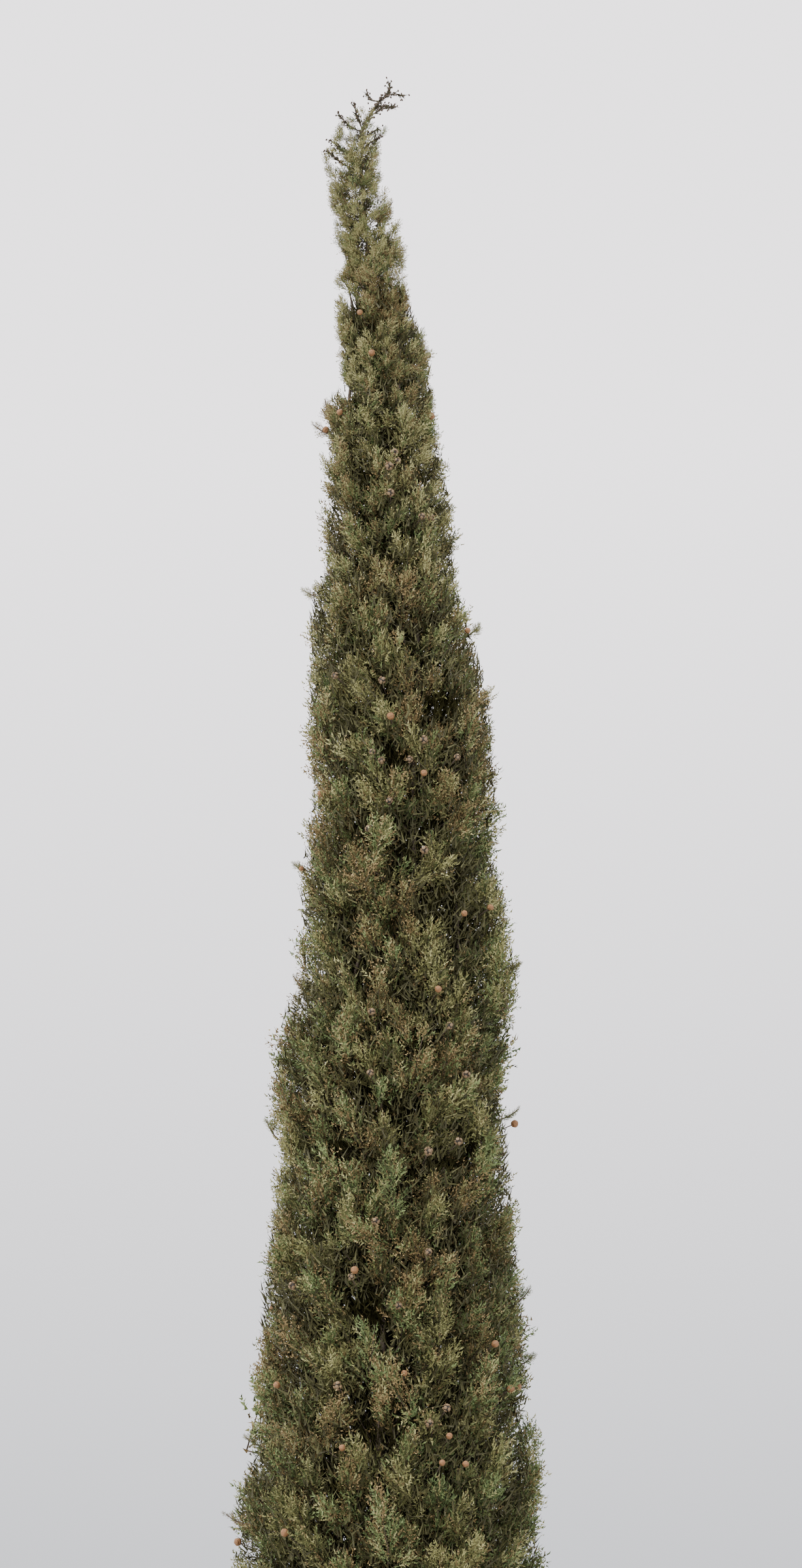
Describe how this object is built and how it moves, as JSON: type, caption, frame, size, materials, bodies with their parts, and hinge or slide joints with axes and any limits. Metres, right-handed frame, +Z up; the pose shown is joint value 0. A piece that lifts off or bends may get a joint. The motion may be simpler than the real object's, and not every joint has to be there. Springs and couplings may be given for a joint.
{
  "type": "cypress tree",
  "caption": "Tall narrow columnar conifer with one straight trunk, upright boughs and dense flame-shaped masses of fine foliage up to a thin bent tip.",
  "frame": {"origin": "middle of the trunk's flat cut at ground level", "axes": "+Z up along the trunk, +X to the right and -Y towards a viewer who sees the thin tip bend to the right"},
  "size_m": [1.4497, 1.4515, 11.9713],
  "materials": {
    "bark": "rough grey-brown bark with long shallow furrows",
    "foliage": "matt olive-green scale leaves in fine upright sprays, some tipped brown"
  },
  "bodies": {
    "root": {"trunk": "bark", "lower_bough_1": "bark", "lower_bough_2": "bark", "lower_bough_3": "bark", "lower_bough_4": "bark", "lower_bough_5": "bark", "middle_bough_1": "bark", "middle_bough_2": "bark", "middle_bough_3": "bark", "middle_bough_4": "bark", "skirt_bough_1": "bark", "skirt_bough_2": "bark", "skirt_bough_3": "bark", "skirt_bough_4": "bark", "skirt_bough_5": "bark", "waist_bough_1": "bark", "waist_bough_2": "bark", "waist_bough_3": "bark", "waist_bough_4": "bark", "waist_bough_5": "bark", "high_foliage_1": "foliage", "high_foliage_2": "foliage", "high_foliage_3": "foliage", "high_foliage_4": "foliage", "lower_foliage_1": "foliage", "lower_foliage_2": "foliage", "lower_foliage_3": "foliage", "lower_foliage_4": "foliage", "lower_foliage_5": "foliage", "middle_foliage_1": "foliage", "middle_foliage_2": "foliage", "middle_foliage_3": "foliage", "middle_foliage_4": "foliage", "narrow_foliage_1": "foliage", "narrow_foliage_2": "foliage", "narrow_foliage_3": "foliage", "narrow_foliage_4": "foliage", "neck_foliage_1": "foliage", "neck_foliage_2": "foliage", "neck_foliage_3": "foliage", "shoulder_foliage_1": "foliage", "shoulder_foliage_2": "foliage", "shoulder_foliage_3": "foliage", "skirt_foliage_1": "foliage", "skirt_foliage_2": "foliage", "skirt_foliage_3": "foliage", "skirt_foliage_4": "foliage", "skirt_foliage_5": "foliage", "spire_foliage_1": "foliage", "spire_foliage_2": "foliage", "tip_foliage_1": "foliage", "upper_foliage_1": "foliage", "upper_foliage_2": "foliage", "upper_foliage_3": "foliage", "upper_foliage_4": "foliage", "waist_foliage_1": "foliage", "waist_foliage_2": "foliage", "waist_foliage_3": "foliage", "waist_foliage_4": "foliage", "waist_foliage_5": "foliage"}
  },
  "joints": []
}
